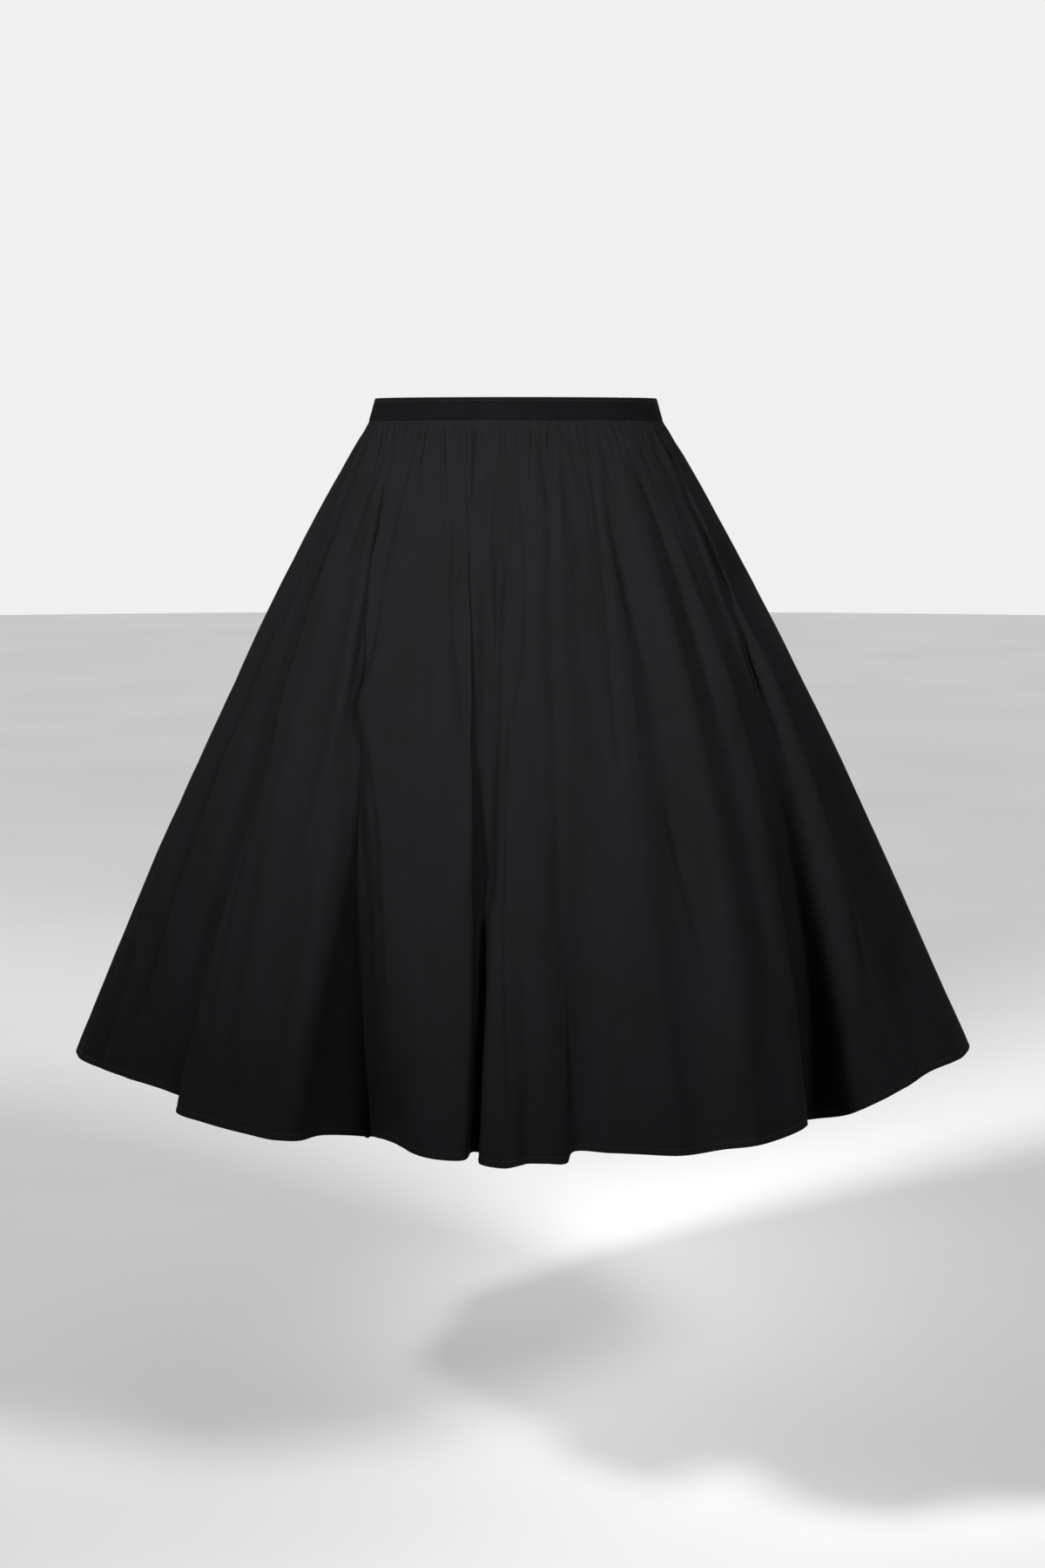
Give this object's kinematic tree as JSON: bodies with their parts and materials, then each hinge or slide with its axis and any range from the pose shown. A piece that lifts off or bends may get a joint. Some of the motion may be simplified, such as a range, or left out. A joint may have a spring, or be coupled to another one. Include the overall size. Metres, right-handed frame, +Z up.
{
  "type": "gathered midi skirt",
  "caption": "Full gathered midi skirt in black cotton, filled out as when worn, with a narrow smooth waistband, soft deep folds, a turned hem and a back zip.",
  "frame": {"origin": "centre of the waistband's ring, half way up the band, where the waist holds the skirt", "axes": "+Z up, the wearer's front faces -Y, the wearer's left is +X"},
  "size_m": [0.8402, 0.7966, 0.641],
  "materials": {
    "skirt_cloth": "matte fine woven cotton with a soft sheen",
    "band_cloth": "matte fine woven cotton, pressed smooth",
    "zip_tape": "matte woven tape",
    "zip_metal": "satin black enamel"
  },
  "bodies": {
    "skirt": {"waistband": "band_cloth", "skirt_front": "skirt_cloth", "skirt_back_left": "skirt_cloth", "skirt_back_right": "skirt_cloth", "zip_tape_left": "zip_tape", "zip_tape_right": "zip_tape", "zip_slider": "zip_metal"},
    "pull": {"zip_pull": "zip_metal"}
  },
  "joints": [
    {"name": "pull_hinge", "type": "hinge", "parent": "skirt", "child": "pull", "pos_m": [0, 0.10173, 0.0045], "axis": [1, 0, 0], "range_deg": [0, 150]}
  ]
}
